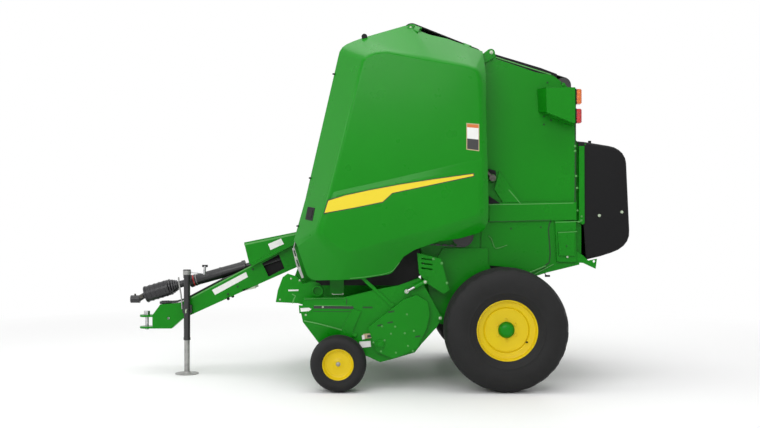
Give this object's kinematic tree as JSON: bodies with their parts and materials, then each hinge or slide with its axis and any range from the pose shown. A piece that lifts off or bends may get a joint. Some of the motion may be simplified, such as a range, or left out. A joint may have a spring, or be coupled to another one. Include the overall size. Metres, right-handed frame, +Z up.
{
  "type": "round baler",
  "caption": "Trailed round baler with a wide tined pickup, belt chamber, lifting rear gate, gull-wing side shields, net cover, jack and PTO driveline.",
  "frame": {"origin": "on the ground at the middle of the overall box", "axes": "+X to the rear, +Y to the machine's right, +Z up"},
  "size_m": [4.2614, 2.47, 2.9612],
  "materials": {
    "green_paint": "gloss paint",
    "yellow_paint": "gloss paint",
    "black_paint": "satin paint",
    "black_plastic": "moulded, fine grain",
    "tyre_rubber": "matt",
    "belt_rubber": "matt, textured",
    "steel": "zinc plated",
    "amber_lens": "clear moulded",
    "red_lens": "clear moulded"
  },
  "bodies": {
    "chassis": {"side_wall_left": "green_paint", "side_wall_right": "green_paint", "front_frame": "green_paint", "chamber_rolls": "green_paint", "belts_front": "belt_rubber", "throat_flaps": "belt_rubber", "drive_chains": "steel", "hoses": "black_paint", "drawbar": "green_paint", "hitch_clevis": "green_paint", "hitch_pin": "steel", "gearbox": "green_paint", "gearbox_shield": "green_paint", "driveline": "black_paint", "jack_tube": "black_paint", "jack_crank": "steel", "axle_beam": "green_paint"},
    "jack_leg": {"jack_leg": "steel"},
    "gate": {"gate_wall_left": "green_paint", "gate_wall_right": "green_paint", "gate_frame": "green_paint", "gate_rolls": "green_paint", "belts_rear": "belt_rubber", "net_box": "green_paint", "lamp_wing_left": "green_paint", "lamp_wing_right": "green_paint", "lamps_amber": "amber_lens", "lamps_red": "red_lens"},
    "net_cover": {"net_cover": "black_plastic"},
    "gate_barrels": {"gate_barrels": "green_paint"},
    "gate_rods": {"gate_rods": "steel"},
    "shield_left": {"shield_left": "green_paint"},
    "shield_right": {"shield_right": "green_paint"},
    "pickup": {"pickup_frame": "green_paint", "pickup_bands": "green_paint", "pickup_drive_cover": "green_paint", "gauge_arms": "green_paint"},
    "pickup_reel": {"pickup_reel": "steel"},
    "windguard": {"windguard": "green_paint"},
    "lift_barrels": {"lift_barrels": "green_paint"},
    "lift_rods": {"lift_rods": "steel"},
    "main_wheel_left": {"main_tyre_left": "tyre_rubber", "main_rim_left": "yellow_paint", "main_hub_left": "green_paint"},
    "gauge_wheel_left": {"gauge_tyre_left": "tyre_rubber", "gauge_rim_left": "yellow_paint"},
    "main_wheel_right": {"main_tyre_right": "tyre_rubber", "main_rim_right": "yellow_paint", "main_hub_right": "green_paint"},
    "gauge_wheel_right": {"gauge_tyre_right": "tyre_rubber", "gauge_rim_right": "yellow_paint"}
  },
  "joints": [
    {"name": "gate_lift", "type": "hinge", "parent": "chassis", "child": "gate", "pos_m": [0.996, 0, 2.715], "axis": [0, -1, 0], "range_deg": [0, 60]},
    {"name": "gate_barrel_swing", "type": "hinge", "parent": "chassis", "child": "gate_barrels", "pos_m": [0.15, 0, 2.48], "axis": [0, -1, 0], "range_deg": [0, 33.94]},
    {"name": "gate_rod_slide", "type": "slide", "parent": "gate_barrels", "child": "gate_rods", "axis": [0.7325, 0, -0.6808], "range_m": [0, 0.59684]},
    {"name": "net_cover_lid", "type": "hinge", "parent": "gate", "child": "net_cover", "pos_m": [1.768, 0, 1.968], "axis": [0, -1, 0], "range_deg": [0, 70]},
    {"name": "shield_left_lift", "type": "hinge", "parent": "chassis", "child": "shield_left", "pos_m": [0.31, -0.815, 2.95], "axis": [-0.9402, 0, 0.3406], "range_deg": [0, 75]},
    {"name": "shield_right_lift", "type": "hinge", "parent": "chassis", "child": "shield_right", "pos_m": [0.31, 0.815, 2.95], "axis": [0.9402, 0, -0.3406], "range_deg": [0, 75]},
    {"name": "pickup_lift", "type": "hinge", "parent": "chassis", "child": "pickup", "pos_m": [0.563, 0, 0.565], "axis": [0, 1, 0], "range_deg": [0, 7]},
    {"name": "lift_barrel_swing", "type": "hinge", "parent": "chassis", "child": "lift_barrels", "pos_m": [0.45, 0, 0.858], "axis": [0, 1, 0], "range_deg": [0, 6.23]},
    {"name": "lift_rod_slide", "type": "slide", "parent": "lift_barrels", "child": "lift_rods", "axis": [0.8896, 0, 0.4568], "range_m": [0, 0.03839]},
    {"name": "reel_spin", "type": "hinge", "parent": "pickup", "child": "pickup_reel", "pos_m": [-0.15, 0, 0.43], "axis": [0, 1, 0], "continuous": true},
    {"name": "windguard_swing", "type": "hinge", "parent": "pickup", "child": "windguard", "pos_m": [-0.47, 0, 0.69], "axis": [0, 1, 0], "range_deg": [0, 15]},
    {"name": "jack_leg_slide", "type": "slide", "parent": "chassis", "child": "jack_leg", "axis": [0, 0, 1], "range_m": [0, 0.26]},
    {"name": "main_wheel_left_spin", "type": "hinge", "parent": "chassis", "child": "main_wheel_left", "pos_m": [1.082, -1.057, 0.489], "axis": [0, 1, 0], "continuous": true},
    {"name": "gauge_wheel_left_spin", "type": "hinge", "parent": "pickup", "child": "gauge_wheel_left", "pos_m": [-0.238, -1.09, 0.222], "axis": [0, 1, 0], "continuous": true},
    {"name": "main_wheel_right_spin", "type": "hinge", "parent": "chassis", "child": "main_wheel_right", "pos_m": [1.082, 1.057, 0.489], "axis": [0, 1, 0], "continuous": true},
    {"name": "gauge_wheel_right_spin", "type": "hinge", "parent": "pickup", "child": "gauge_wheel_right", "pos_m": [-0.238, 1.09, 0.222], "axis": [0, 1, 0], "continuous": true}
  ],
  "couplings": [
    {"joint": "gate_barrel_swing", "follows": "gate_lift", "ratio": 0.56554},
    {"joint": "gate_rod_slide", "follows": "gate_lift", "m_per_rad": 0.56985},
    {"joint": "lift_barrel_swing", "follows": "pickup_lift", "ratio": 0.88921},
    {"joint": "lift_rod_slide", "follows": "pickup_lift", "m_per_rad": 0.31342}
  ]
}
